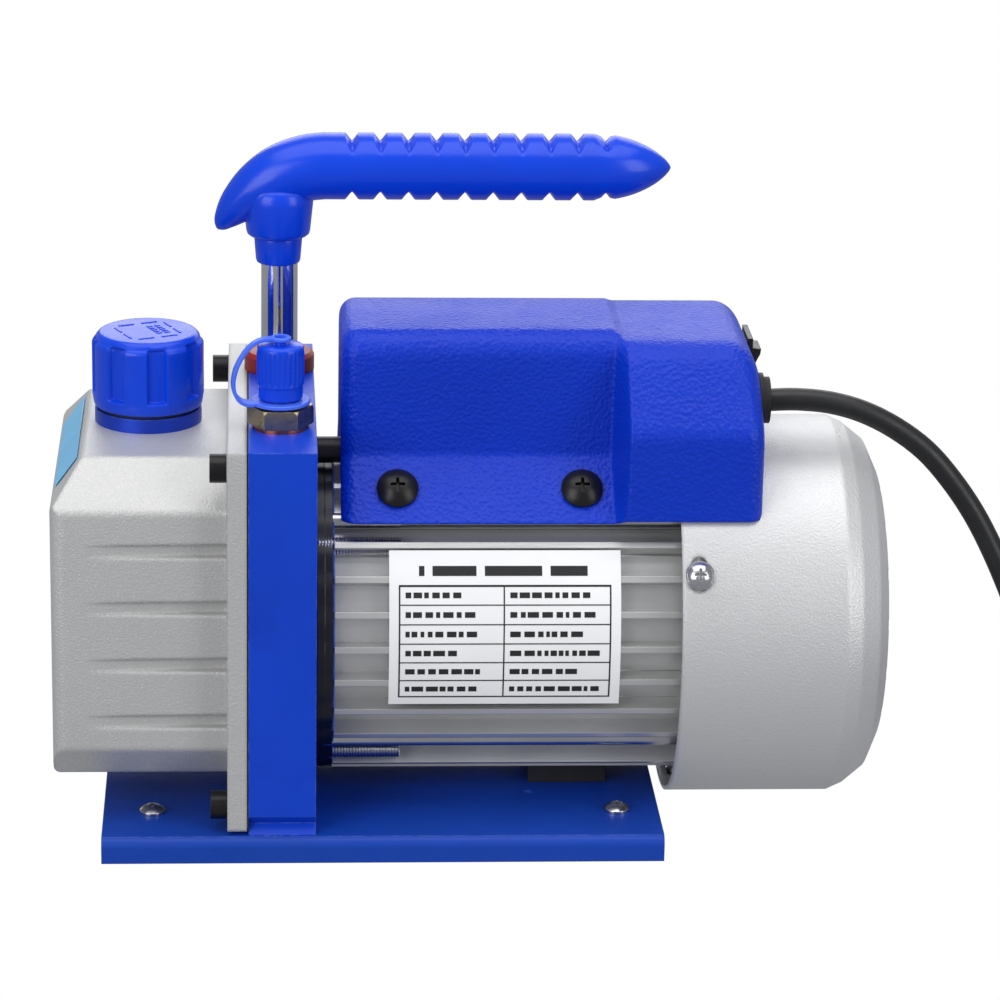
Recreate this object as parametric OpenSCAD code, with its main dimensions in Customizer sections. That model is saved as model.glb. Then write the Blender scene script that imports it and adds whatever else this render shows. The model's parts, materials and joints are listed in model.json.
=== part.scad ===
// Single-stage rotary vane vacuum pump, direct driven by a capacitor motor.
// +X runs from the oil tank to the fan end, the intake port is on the -Y side, +Z is up.
// The origin is on the floor, under the middle of the machine without its power cord.

/* [Machine] */
// Length from the tank's end to the fan cowl's end
machine_l = 252; // [248:1:256]
// Height of the shaft's axis above the floor
axis_z = 67; // [66.5:0.5:68]
// Height of the pump block's top face
block_top = 133; // [132:0.5:134]

/* [Base plate] */
// Length of the base plate
plate_l = 168; // [160:1:172]
// Width of the base plate over its folded edges
plate_w = 120; // [119:1:124]
// Height of the base plate's top face
plate_top = 13.6; // [13.2:0.2:14]
// Sheet thickness
plate_t = 1.5; // [1:0.1:2]

/* [Pump block and oil tank] */
// Thickness of the pump block along the shaft
block_t = 20; // [19:0.5:21]
// Width of the block and of the tank's flange
block_w = 115; // [112:1:116]
// Thickness of the tank's flange
flange_t = 5.8; // [5:0.2:6.4]
// Height of the tank's top face
tank_top = 125; // [124:0.5:126]
// Wall of the cast tank
tank_wall = 4.2; // [4:0.1:4.5]

/* [Vane module] */
// Radius of the rotor
rotor_r = 20.9; // [20.5:0.1:21]
// Radius of the cylinder's bore
chamber_r = 24; // [23.9:0.1:24.5]
// Length of the cylinder
chamber_l = 22; // [20:0.5:23]
// Thickness of a vane
vane_t = 4; // [3.6:0.1:4]

/* [Motor] */
// Radius over the cooling fins
fin_r = 50.5; // [50:0.5:51]
// Number of fin places around the frame
fin_n = 30; // [30:30]
// Radius of the fan cowl
cowl_r = 58; // [57.6:0.2:58.4]
// Length of the fan cowl
cowl_l = 66; // [64:1:68]
// Radius of the motor shaft
shaft_r = 6; // [5.5:0.5:6]

/* [Terminal box] */
// Wall of the moulded box
box_wall = 2.4; // [2:0.1:2.6]
// Height of the narrow part's top
box_top = 159; // [157:0.5:161]
// Height of the wide part's top
box_wide_top = 156; // [154:0.5:157]

/* [Handle] */
// Radius of the chromed stem
stem_r = 5.6; // [5:0.1:5.8]
// Height of the grip's centre line
grip_z = 197; // [194:0.5:200]

/* [Power cord] */
// Diameter of the cord
cord_d = 7; // [6.8:0.1:7.2]

/* [Hidden] */
$fn = 64;

gap = 0.05;                       // running clearance on a radius
eps = 0.01;                       // overshoot of a cut

// Stations along the shaft
tank_x = -machine_l / 2;          // tank's end face
cowl_x1 = machine_l / 2;          // cowl's end
cowl_x0 = cowl_x1 - cowl_l;       // cowl's open rim
block_x0 = -67.9;                 // block's tank side
block_x1 = block_x0 + block_t;    // block's motor side
gasket_t = 0.5;
flange_x1 = block_x0 - gasket_t;
flange_x0 = flange_x1 - flange_t;
frame_x0 = -42.5;                 // motor frame's ends
frame_x1 = 66;
plate_x0 = -111.6;
lip_h = 7.8;                      // depth of the folded edges
block_z0 = plate_top;

// Tank section, as points across and up
tank_z0 = 27.6;
flange_z0 = 15;
tank_half = 50;
tank_shoulder_z = 112.4;
tank_shoulder_half = 35;
tank_round = 3;
glass_z = 63.5;
facet_top_x = tank_x + 9.2;       // where the sloped facet meets the top

// Ports on the block's top
port_x = -58.5;
intake_y = -30.8;
stem_y = 30.8;
cap_x = -98.2;
cap_y = 3;

// Flange bolts
bolt_y = 51.5;
bolt_z = [21.2, 126.6];

// Vane module
eccentric = chamber_r - rotor_r - 0.1;
chamber_z = axis_z - eccentric;
chamber_x1 = block_x0;
chamber_x0 = chamber_x1 - chamber_l;
end_cover_t = 6;
cylinder_r = 35;
journal_r = 7;
vane_in = 6.8;                    // inner edge of a retracted vane
vane_out = rotor_r - 0.1;         // outer edge of a retracted vane
passage_y = -14.5;                // drilled way from the intake to the chamber
passage_z = axis_z + 17;
valve_top_z = axis_z + 29;        // flat on the cylinder that carries the reed

// Motor
rod_pitch_r = 47.5;               // tie rods' circle
rod_angle = [-40, 50, 140, 230];  // from the intake side, upwards
rod_r = 2.4;
root_r = 45;
bore_r = 41;
rotor_core_r = 25;
stator_x0 = -22;
stator_x1 = 38;

// Terminal box
box_x0 = -40.5;
box_xw = 43.5;                    // where the wide part starts
box_x1 = 84.3;
box_half = 24;
box_wide_half = 43.5;
box_fold_z = 122;
box_skirt_y = 40;
stud_z = 120.5;                    // hollow screw between block and box
box_skirt_z = 105.6;
box_wide_z0 = 108;
capacitor_z = 138.5;
gland_y = -18;
gland_z = 137.5;
switch_y = 18;

// Feet
foot_x = [-96.9, 43.6];
foot_y = [-38.6, 38.6];
foot_r = 8;

// Power cord: points chosen by hand, from the gland to the coil, and from the coil to the plug
cord_r = cord_d / 2;
cord_start_x = box_x1 + 4;
coil_x = 218.5;
coil_y = 14;
coil_mid_r = 38.5;
coil_rows = 2;
coil_layers = 3;
cord_route = [
    [cord_start_x, -18, 137.5], [96, -18, 137.7], [106, -18.2, 136.8], [116, -18.6, 134.1], [126, -19.2, 129.2],
    [135.5, -20, 122.3], [143.5, -21, 113.5], [150.8, -22, 103.2], [157.1, -23.2, 91.7],
    [162.8, -24.6, 79.2], [167.8, -26, 66.4], [172.5, -27.5, 53.6], [177.4, -29.2, 41.2],
    [182, -31, 29.5], [187.2, -33, 19], [193.7, -34.6, 10.2], [201.5, -35.3, 5], [210, -35.2, 3.5],
    [218.5, -34.9, 3.5]];
tail_route = [[262.1, 14, 17.5], [261.9, 22, 16.8], [261.1, 31, 14.2], [259.9, 39, 11.6], [258.5, 47, 11]];

module shaft_way(x, y = 0, z = axis_z) translate([x, y, z]) rotate([0, 90, 0]) children();
module rod_x(x0, x1, r, y = 0, z = axis_z) shaft_way(x0, y, z) cylinder(h = x1 - x0, r = r);
module tube_x(x0, x1, r, hole, y = 0, z = axis_z)
    difference() {
        rod_x(x0, x1, r, y, z);
        rod_x(x0 - 1, x1 + 1, hole, y, z);
    }
module both_sides() {
    children();
    mirror([0, 1, 0]) children();
}
module at_rods() for (a = rod_angle) translate([0, -rod_pitch_r * cos(a), axis_z + rod_pitch_r * sin(a)]) children();

// A pan head with a cross recess, standing on z = 0
module pan_head(r, h, slot) {
    difference() {
        intersection() {
            cylinder(h = h, r = r);
            translate([0, 0, h - r * 1.35]) sphere(r = r * 1.35);
        }
        for (a = [0, 90]) rotate([0, 0, a]) translate([-slot, -slot / 5, h * 0.35]) cube([2 * slot, slot * 0.4, h]);
    }
}

// A socket head, standing on z = 0
module socket_head(r, h, key) difference() {
    cylinder(h = h, r = r);
    translate([0, 0, h * 0.4]) cylinder(h = h, r = key, $fn = 6);
}

// Sweeps a tube of radius r along points, with flat ends, as one closed mesh
function unit(v) = v / norm(v);
function heading(p, i) = let (n = len(p)) unit(p[min(i + 1, n - 1)] - p[max(i - 1, 0)]);
function ring(c, d, r, sides, across) =
    let (side = unit(cross(d, across)), up = cross(side, d))
    [for (k = [0:sides - 1]) let (a = 360 * k / sides) c + r * (cos(a) * side + sin(a) * up)];
module sweep_tube(p, r, sides = 10, across = [0, 1, 0]) {
    n = len(p);
    points = [for (i = [0:n - 1]) each ring(p[i], heading(p, i), r, sides, across)];
    walls = [for (i = [0:n - 2], k = [0:sides - 1])
        let (a = i * sides + k, b = i * sides + (k + 1) % sides) each [[a, b, b + sides], [a, b + sides, a + sides]]];
    polyhedron(points, concat(
        [[for (k = [0:sides - 1]) sides - 1 - k]],
        walls,
        [[for (k = [0:sides - 1]) (n - 1) * sides + k]]), convexity = 6);
}

// ---------------------------------------------------------------- base
module base_plate() color("royalblue") difference() {
    union() {
        translate([plate_x0, -plate_w / 2 + 2, plate_top - plate_t]) cube([plate_l, plate_w - 4, plate_t]);
        both_sides() translate([plate_x0, 0, 0]) rotate([90, 0, 90]) linear_extrude(plate_l) difference() {
            union() {
                translate([plate_w / 2 - 3, plate_top - 3]) circle(r = 3);
                translate([plate_w / 2 - 3, plate_top - lip_h]) square([3, lip_h - 3]);
                translate([plate_w / 2 - 3.5, plate_top - 3]) square([0.5, 3]);
            }
            translate([plate_w / 2 - 3, plate_top - 3]) circle(r = 3 - plate_t);
            translate([plate_w / 2 - 4, 0]) square([4 - plate_t, plate_top - 3]);
            translate([plate_w / 2 - 8, 0]) square([5, plate_top - plate_t]);
        }
    }
    for (x = foot_x, y = foot_y) translate([x, y, 0]) cylinder(h = 20, r = 2.1);
    for (x = [block_x0 + block_t / 2], y = [-40, 40]) translate([x, y, 0]) cylinder(h = 20, r = 2.6);
    translate([17.5, 0, 0]) both_sides() translate([0, 24, 0]) cylinder(h = 20, r = 1.6);
}
module rubber_feet() color("black") for (x = foot_x, y = foot_y) translate([x, y, 0]) difference() {
    cylinder(h = plate_top - plate_t, r1 = foot_r - 1, r2 = foot_r);
    translate([0, 0, 6]) cylinder(h = 20, r = 2);
}
module foot_screws() color("silver") for (x = foot_x, y = foot_y) translate([x, y, 0]) {
    translate([0, 0, plate_top]) pan_head(3.9, 2.6, 1.8);
    translate([0, 0, 6]) cylinder(h = plate_top - 6 + 0.5, r = 2);
}
module motor_support() color("black") intersection() {
    translate([18, -16, plate_top]) cube([24, 32, 10]);
    difference() {
        translate([18, -16, plate_top]) cube([24, 32, 10]);
        rod_x(0, 60, fin_r + 0.1, $fn = 256);
    }
}
module base_bolts() color("dimgray") for (y = [-40, 40]) translate([block_x0 + block_t / 2, y, 0]) {
    translate([0, 0, plate_top - plate_t]) mirror([0, 0, 1]) socket_head(4.3, 4, 2);
    translate([0, 0, plate_top - plate_t - 1]) cylinder(h = 16, r = 2.5);
}

// ---------------------------------------------------------------- oil tank
// A polygon whose corners are rounded to radius r
function corner(p, i, r, steps = 4) = let (
    n = len(p), u = unit(p[(i + n - 1) % n] - p[i]), v = unit(p[(i + 1) % n] - p[i]),
    half = acos(u * v) / 2, mid = p[i] + unit(u + v) * r / sin(half),
    from = p[i] + u * r / tan(half) - mid, to = p[i] + v * r / tan(half) - mid)
    [for (k = [0:steps]) mid + r * unit(from * (1 - k / steps) + to * k / steps)];
module rounded(p, r) polygon([for (i = [0:len(p) - 1]) each corner(p, i, r)]);
// The cast shell's body up to x1, shrunk by inset: its end view, side view and plan view in one
module tank_block(inset, x1) {
    q = inset;
    intersection() {
        translate([tank_x - 10, 0, 0]) rotate([90, 0, 90]) linear_extrude(x1 - tank_x + 10) rounded([
            [-42 + 0.7 * q, tank_z0 + q], [42 - 0.7 * q, tank_z0 + q], [tank_half - q, 38.2 + 0.4 * q],
            [tank_half - q, tank_shoulder_z - 0.4 * q], [tank_shoulder_half - 0.4 * q, tank_top - q],
            [-tank_shoulder_half + 0.4 * q, tank_top - q], [-tank_half + q, tank_shoulder_z - 0.4 * q],
            [-tank_half + q, 38.2 + 0.4 * q]], tank_round);
        translate([0, 60, 0]) rotate([90, 0, 0]) linear_extrude(120) rounded([
            [tank_x + q, tank_z0 + q], [x1 + 20, tank_z0 + q], [x1 + 20, tank_top - q],
            [facet_top_x + 0.5 * q, tank_top - q], [tank_x + q, tank_shoulder_z - 0.5 * q]], tank_round);
        translate([0, 0, 10]) linear_extrude(130) rounded([
            [tank_x + q, -tank_half + q], [x1 + 20, -tank_half + q], [x1 + 20, tank_half - q],
            [tank_x + q, tank_half - q]], tank_round + 1);
    }
}
// One louvre-like recess in the tank's side, deeper towards the flange
module tank_groove(z) translate([-116.2, -tank_half, z]) rotate([90, 0, 90 + 3.6]) linear_extrude(44)
    polygon([[-5, -0.6], [0, 0], [0, 3.6], [-5, 4.6]]);
module oil_tank() color("silver") difference() {
    union() {
        tank_block(0, flange_x0 + 1);
        translate([flange_x0, -block_w / 2, flange_z0]) cube([flange_t, block_w, block_top - flange_z0]);
    }
    tank_block(tank_wall, flange_x1 + 1);
    for (z = [45.2, 63, 80.8, 98.5]) both_sides() intersection() {
        tank_groove(z);
        translate([-130, -60, 0]) cube([flange_x0 + 130, 20, 130]);
    }
    for (y = [-bolt_y, bolt_y], z = bolt_z) rod_x(flange_x0 - 1, flange_x1 + 1, 2.7, y, z);
    translate([cap_x, cap_y, tank_top - 10]) cylinder(h = 12, r = 11);
    rod_x(tank_x - 1, tank_x + 10, 13, 0, glass_z);
    translate([tank_x + 7.4, 0, 20]) cylinder(h = 16, r = 4);
}
module tank_gasket() color("black") difference() {
    translate([flange_x1, -block_w / 2 + 0.3, flange_z0 + 0.3]) cube([gasket_t, block_w - 0.6, block_top - flange_z0 - 0.6]);
    translate([flange_x1 - 1, -42, 31]) cube([gasket_t + 2, 84, 87]);
    for (y = [-bolt_y, bolt_y], z = bolt_z) rod_x(flange_x1 - 1, flange_x1 + 2, 2.7, y, z);
}
module tank_bolts() color("black") for (y = [-bolt_y, bolt_y], z = bolt_z) {
    rod_x(flange_x0 - 0.5, block_x0 + 12, 2.5, y, z);
    translate([flange_x0, y, z]) rotate([0, -90, 0]) socket_head(4.25, 5, 2);
}
module sight_glass() color("lightyellow") rod_x(tank_x + 2.2, tank_x + 5.2, 10, 0, glass_z);
module sight_glass_ring() color("silver") difference() {
    rod_x(tank_x + 0.2, tank_x + 6.2, 13, 0, glass_z);
    rod_x(tank_x - 1, tank_x + 2.2, 9, 0, glass_z);
    rod_x(tank_x + 2.2 - eps, tank_x + 7.2, 10, 0, glass_z);
}
module drain_plug() color("goldenrod") translate([tank_x + 7.4, 0, 0]) {
    translate([0, 0, tank_z0 - 6]) cylinder(h = 5, r = 6.9, $fn = 6);
    translate([0, 0, tank_z0 - 1]) cylinder(h = 1, r = 6.6);
    translate([0, 0, tank_z0 - 0.5]) cylinder(h = 6, r = 4);
}
module filler_collar() color("royalblue") translate([cap_x, cap_y, 0]) difference() {
    union() {
        translate([0, 0, tank_top]) cylinder(h = 4.3, r = 16.1);
        translate([0, 0, tank_top - 9]) cylinder(h = 9.5, r = 11);
    }
    translate([0, 0, tank_top - 20]) cylinder(h = 40, r = 9);
}
module oil_cap_seal() color("black") translate([cap_x, cap_y, tank_top + 4.3]) difference() {
    cylinder(h = 0.8, r = 15.2);
    translate([0, 0, -1]) cylinder(h = 3, r = 10);
}
module oil_cap() color("blue") translate([cap_x, cap_y, tank_top + 5.1]) {
    difference() {
        union() {
            cylinder(h = 3.5, r1 = 16.3, r2 = 16.8);
            translate([0, 0, 3.5]) cylinder(h = 18, r = 16.8);
            translate([0, 0, 21.5]) cylinder(h = 2.1, r1 = 16.8, r2 = 15);
        }
        for (k = [0:7]) rotate([0, 0, 45 * k + 11]) translate([14.9, -2.9, 4]) cube([6, 5.8, 17]);
    }
    translate([0, 0, -9.5]) difference() {
        cylinder(h = 9.6, r = 9 - gap);
        translate([0, 0, -1]) cylinder(h = 10, r = 6.5);
    }
}
module demister() color("gray") translate([cap_x, cap_y, tank_top - 25]) difference() {
    cylinder(h = 16, r = 10.5);
    translate([0, 0, -1]) cylinder(h = 15, r = 4);
}
module tank_sticker() color("lightskyblue") {
    drop = tank_top - tank_shoulder_z;
    run = facet_top_x - tank_x;
    slope = atan2(run, drop);
    translate([tank_x + run / 2 - 0.1, 0, tank_shoulder_z + drop / 2]) rotate([0, slope, 0])
        translate([-0.55, -31, -5.5]) cube([0.3, 62, 11]);
}

// ---------------------------------------------------------------- pump block
module pump_block() color("blue") difference() {
    union() {
        translate([block_x0, -block_w / 2, block_z0]) cube([block_t, block_w, block_top - block_z0]);
        rod_x(block_x1 - eps, frame_x0, fin_r - 1);
    }
    for (s = [-1, 1]) translate([block_x0 - 1, s * (block_w / 2), block_z0]) rotate([45, 0, 0])
        cube([block_t + 2, 4.2, 4.2], center = false);
    rod_x(block_x1 - 3, frame_x0 + 1, bore_r);
    rod_x(block_x0 - 1, block_x1 + 1, journal_r + gap);
    rod_x(block_x0 + 4, block_x0 + 11, 13);
    rod_x(block_x1 - 8, block_x1 + 1, 16);
    translate([port_x, intake_y, passage_z - 2]) cylinder(h = 60, r = 3);
    translate([port_x, intake_y, block_top - 10]) cylinder(h = 20, r = 6.5);
    rod_x(block_x0 - 1, port_x, 3, passage_y, passage_z);
    translate([port_x, intake_y, passage_z]) rotate([-90, 0, 0]) cylinder(h = passage_y - intake_y, r = 3);
    translate([port_x, stem_y, block_top - 14]) cylinder(h = 30, r = stem_r);
    for (y = [-bolt_y, bolt_y], z = bolt_z) rod_x(block_x0 - 1, block_x0 + 13, 2.5, y, z);
    for (a = [45, 135, 225, 315]) rod_x(block_x0 - 1, block_x0 + 12, 2.5, 30 * cos(a), axis_z + 30 * sin(a));
    at_rods() translate([block_x1 - 10, 0, 0]) rotate([0, 90, 0]) cylinder(h = 30, r = rod_r);
    for (y = [-40, 40]) translate([block_x0 + block_t / 2, y, 0]) cylinder(h = plate_top + 15, r = 2.5);
    rod_x(block_x1 - 6, block_x1 + 1, 4, -14, stud_z);
}
module intake_fitting() color("tan") translate([port_x, intake_y, block_top]) difference() {
    union() {
        translate([0, 0, -9]) cylinder(h = 10.2, r = 6.5);
        translate([0, 0, 1.2]) intersection() {
            cylinder(h = 5.6, r = 9.8, $fn = 6);
            translate([0, 0, -8.2]) cylinder(h = 15, r1 = 16.2, r2 = 8.7);
        }
        translate([0, 0, 6.8]) cylinder(h = 3.2, r = 4.9);
        translate([0, 0, 10]) cylinder(h = 11, r = 5.55);
        translate([0, 0, 21]) cylinder(h = 2.6, r1 = 5.2, r2 = 3.1);
    }
    translate([0, 0, -20]) cylinder(h = 60, r = 2.4);
}
module intake_washer() color("chocolate") translate([port_x, intake_y, block_top]) difference() {
    cylinder(h = 1.2, r = 8.4);
    translate([0, 0, -1]) cylinder(h = 4, r = 6.5);
}
module dust_cap() color("blue") translate([port_x, intake_y, block_top]) {
    difference() {
        union() {
            translate([0, 0, 8.9]) cylinder(h = 4, r = 6.5);
            translate([0, 0, 12.9]) cylinder(h = 11.4, r1 = 6.6, r2 = 7);
            translate([0, 0, 24.3]) cylinder(h = 0.9, r1 = 7, r2 = 6.4);
        }
        translate([0, 0, 8]) cylinder(h = 16, r = 5.6);
    }
    translate([0, 0, 25]) cylinder(h = 1.8, r = 1.7);
}
// The strap is a ring on the fitting's neck, a side tab, a bowed strip and an eyelet on the cap's nub
module dust_cap_strap() color("cornflowerblue") translate([port_x, intake_y, block_top]) {
    difference() {
        translate([0, 0, 7.3]) cylinder(h = 1.2, r = 8.8);
        translate([0, 0, 6]) cylinder(h = 4, r = 5);
    }
    bow = [[-7.5, -3, 7.9], [-11.4, -3.6, 8.3], [-13.6, -3.8, 11.5], [-13.3, -3.6, 16.5], [-11.3, -3, 21.2], [-8.4, -1.8, 25], [-5.2, -0.9, 26.6], [-2.6, -0.3, 26.9]];
    sweep_strip(bow, 2.6, 1.1);
    difference() {
        translate([0, 0, 26.35]) cylinder(h = 1.1, r = 3.1);
        translate([0, 0, 25]) cylinder(h = 4, r = 1.75);
    }
}
// A flat strip of width w and thickness t along points that run mostly in X and Z
module sweep_strip(p, w, t) {
    n = len(p);
    points = [for (i = [0:n - 1]) let (d = heading(p, i), side = unit([0.12, 1, 0]), up = unit(cross(side, d)))
        each [p[i] - w / 2 * side - t / 2 * up, p[i] + w / 2 * side - t / 2 * up,
              p[i] + w / 2 * side + t / 2 * up, p[i] - w / 2 * side + t / 2 * up]];
    walls = [for (i = [0:n - 2], k = [0:3]) let (a = i * 4 + k, b = i * 4 + (k + 1) % 4)
        each [[a, b, b + 4], [a, b + 4, a + 4]]];
    polyhedron(points, concat([[0, 3, 2, 1]], [for (f = walls) [f[0], f[1], f[2]]], [[4 * n - 4, 4 * n - 3, 4 * n - 2, 4 * n - 1]]));
}

// ---------------------------------------------------------------- handle
module handle_stem() color("silver") translate([port_x, stem_y, block_top - 14]) cylinder(h = grip_z - 12 - block_top + 14, r = stem_r);
module handle_collar() color("firebrick") translate([port_x, stem_y, block_top]) difference() {
    union() {
        cylinder(h = 4.6, r = 10.75);
        translate([0, 0, 4.6]) cylinder(h = 1.2, r1 = 10.75, r2 = 9.6);
    }
    translate([0, 0, -1]) cylinder(h = 10, r = stem_r);
}
// Grip: a bulged bar with a bent nose, ringed by finger notches, on a stepped socket
grip_nose = [[-78.5, -16.6, 3], [-70, -11.6, 6.6], [-60, -4.2, 9.2], [-50, 0, 10.2]];
grip_x1 = 61;
notch_x0 = -36.5;
notch_step = 8.6;
module handle_grip() color("blue") translate([0, stem_y, grip_z]) difference() {
    union() {
        for (i = [0:2]) hull() {
            translate([grip_nose[i][0], 0, grip_nose[i][1]]) sphere(r = grip_nose[i][2], $fn = 32);
            translate([grip_nose[i + 1][0], 0, grip_nose[i + 1][1]]) sphere(r = grip_nose[i + 1][2], $fn = 32);
        }
        rotate([0, 90, 0]) translate([0, 0, -50]) cylinder(h = 88, r = 10.2);
        rotate([0, 90, 0]) translate([0, 0, 38]) rotate_extrude() polygon(concat(
            [[0, 0], [10.2, 0]],
            [for (k = [1:8]) let (t = k / 8) [10.2 * sqrt(1 - t * t * 0.96), t * (grip_x1 - 38)]],
            [[0, grip_x1 - 38]]));
        translate([port_x, 0, -22]) cylinder(h = 20, r1 = 9.6, r2 = 11);
        translate([port_x, 0, -30]) cylinder(h = 9, r1 = 6.7, r2 = 7.4);
    }
    translate([port_x, 0, -31]) cylinder(h = 19, r = stem_r);
    for (k = [0:9]) translate([notch_x0 + notch_step * k, 0, 0]) rotate([0, 90, 0]) rotate_extrude()
        polygon([[8.9, 0.4], [12, 1.6], [12, -1.2]]);
}

// ---------------------------------------------------------------- vane module
module bolt_places() for (a = [45, 135, 225, 315]) translate([0, 30 * cos(a), axis_z + 30 * sin(a)]) children();
module pump_cylinder() color("gray") difference() {
    rod_x(chamber_x0, chamber_x1, cylinder_r);
    rod_x(chamber_x0 - 1, chamber_x1 + 1, chamber_r, 0, chamber_z);
    translate([chamber_x0 - 1, -30, valve_top_z]) cube([chamber_l + 2, 60, 30]);
    bolt_places() translate([chamber_x0 - 1, 0, 0]) rotate([0, 90, 0]) cylinder(h = chamber_l + 2, r = 2.7);
    translate([chamber_x0 + 11, 8, axis_z + 10]) cylinder(h = 40, r = 2.5);
    rod_x(chamber_x0 + 8, chamber_x1 + 1, 3, passage_y, passage_z);
    for (x = [chamber_x0 + 11]) translate([x, -8, axis_z + 22]) cylinder(h = 20, r = 1.5);
}
module pump_end_cover() color("darkgray") difference() {
    rod_x(chamber_x0 - end_cover_t, chamber_x0, cylinder_r);
    rod_x(chamber_x0 - end_cover_t - 1, chamber_x0 + 1, journal_r + gap);
    translate([chamber_x0 - end_cover_t - 1, -40, valve_top_z]) cube([end_cover_t + 2, 80, 30]);
    bolt_places() translate([chamber_x0 - end_cover_t - 1, 0, 0]) rotate([0, 90, 0]) cylinder(h = end_cover_t + 2, r = 2.7);
}
module pump_bolts() color("black") bolt_places() {
    translate([chamber_x0 - end_cover_t - 0.5, 0, 0]) rotate([0, 90, 0]) cylinder(h = end_cover_t + chamber_l + 11, r = 2.5);
    translate([chamber_x0 - end_cover_t, 0, 0]) rotate([0, -90, 0]) socket_head(4.25, 5, 2);
}
module pump_rotor() color("silver") difference() {
    union() {
        rod_x(chamber_x0 + 0.2, chamber_x1 - 0.2, rotor_r);
        rod_x(chamber_x0 - end_cover_t + 1, chamber_x1 + 8, journal_r);
    }
    translate([chamber_x0 + 0.1, -30, axis_z - vane_t / 2 - 0.1]) cube([chamber_l - 0.2, 60, vane_t + 0.2]);
    translate([chamber_x1 + 4, -10, axis_z - 2]) cube([10, 20, 4]);
}
module vane(s) translate([chamber_x0 + 0.25, s > 0 ? vane_in : -vane_out, axis_z - vane_t / 2])
    cube([chamber_l - 0.5, vane_out - vane_in, vane_t]);
module vane_front() color("saddlebrown") vane(-1);
module vane_rear() color("saddlebrown") vane(1);
spring_r = 1.5;
spring_wire = 0.3;
spring_turns = 6;
module vane_springs() color("silver") for (x = [chamber_x0 + 6, chamber_x0 + 16]) translate([x, 0, axis_z])
    sweep_tube([for (k = [0:54]) let (a = 360 * spring_turns * k / 54)
        [spring_r * cos(a), (k / 54 - 0.5) * 2 * (vane_in - spring_wire - 0.1), spring_r * sin(a)]], spring_wire, 5);
reed_x = chamber_x0 + 6;
reed_hinge_y = -4;
module exhaust_reed() color("lightsteelblue") translate([reed_x, reed_hinge_y + 0.1, valve_top_z]) cube([10, 17, 0.3]);
module reed_stop() color("gray") translate([reed_x, -12, valve_top_z]) difference() {
    union() {
        cube([10, 8, 1.5]);
        translate([0, 7.9, 0.3]) rotate([9, 0, 0]) cube([10, 17.5, 1.2]);
    }
    translate([5, 4, -1]) cylinder(h = 4, r = 1.6);
}
module reed_screws() color("silver") translate([chamber_x0 + 11, -8, valve_top_z + 1.5]) {
    pan_head(2.8, 2, 1.4);
    translate([0, 0, -7]) cylinder(h = 7.3, r = 1.5);
}
module shaft_seal() color("black") tube_x(block_x0 + 4, block_x0 + 11, 13, journal_r + gap);

// ---------------------------------------------------------------- motor
module bearing(x0, x1, outer) {
    tube_x(x0, x1, outer, outer - 2.6);
    tube_x(x0, x1, shaft_r + 2.4, shaft_r + gap);
    for (k = [0:7]) translate([(x0 + x1) / 2, 0, axis_z]) rotate([45 * k, 0, 0])
        translate([0, 0, (outer - 2.6 + shaft_r + 2.4) / 2]) sphere(r = (outer - 5 - shaft_r) / 2 - gap, $fn = 24);
}
module front_bearing() color("silver") bearing(block_x1 - 8, block_x1, 16);
module rear_bearing() color("silver") bearing(68, 76, 14);
module motor_shaft() color("silver") difference() {
    union() {
        rod_x(chamber_x1 + 8 + 0.2, 104, shaft_r);
        intersection() {
            translate([chamber_x1 + 4.3, -5.5, axis_z - 1.9]) cube([5, 11, 3.8]);
            rod_x(chamber_x1 + 4, chamber_x1 + 9, shaft_r);
        }
    }
    translate([92, -10, axis_z + shaft_r - 1]) cube([20, 20, 5]);
}
module motor_rotor() color("gray") {
    tube_x(stator_x0, stator_x1, rotor_core_r, shaft_r);
    for (x = [stator_x0 - 5, stator_x1]) tube_x(x, x + 5, rotor_core_r - 1, 14);
}
slot_n = 24;
module stator_core() color("dimgray") difference() {
    rod_x(stator_x0, stator_x1, bore_r);
    rod_x(stator_x0 - 1, stator_x1 + 1, rotor_core_r + 0.4);
    for (k = [0:slot_n - 1]) translate([stator_x0 - 1, 0, axis_z]) rotate([360 / slot_n * k, 0, 0])
        translate([0, -1.5, rotor_core_r + 1.4]) cube([stator_x1 - stator_x0 + 2, 3, 8]);
}
module stator_windings() color("chocolate") for (x = [stator_x0 - 6, stator_x1 + 6]) shaft_way(x) rotate_extrude()
    translate([rotor_core_r + 6.5, 0]) hull() {
        translate([-2, -6]) square([4, 15 - 3]);
        translate([-4, -4]) square([8, 8]);
    }
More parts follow.
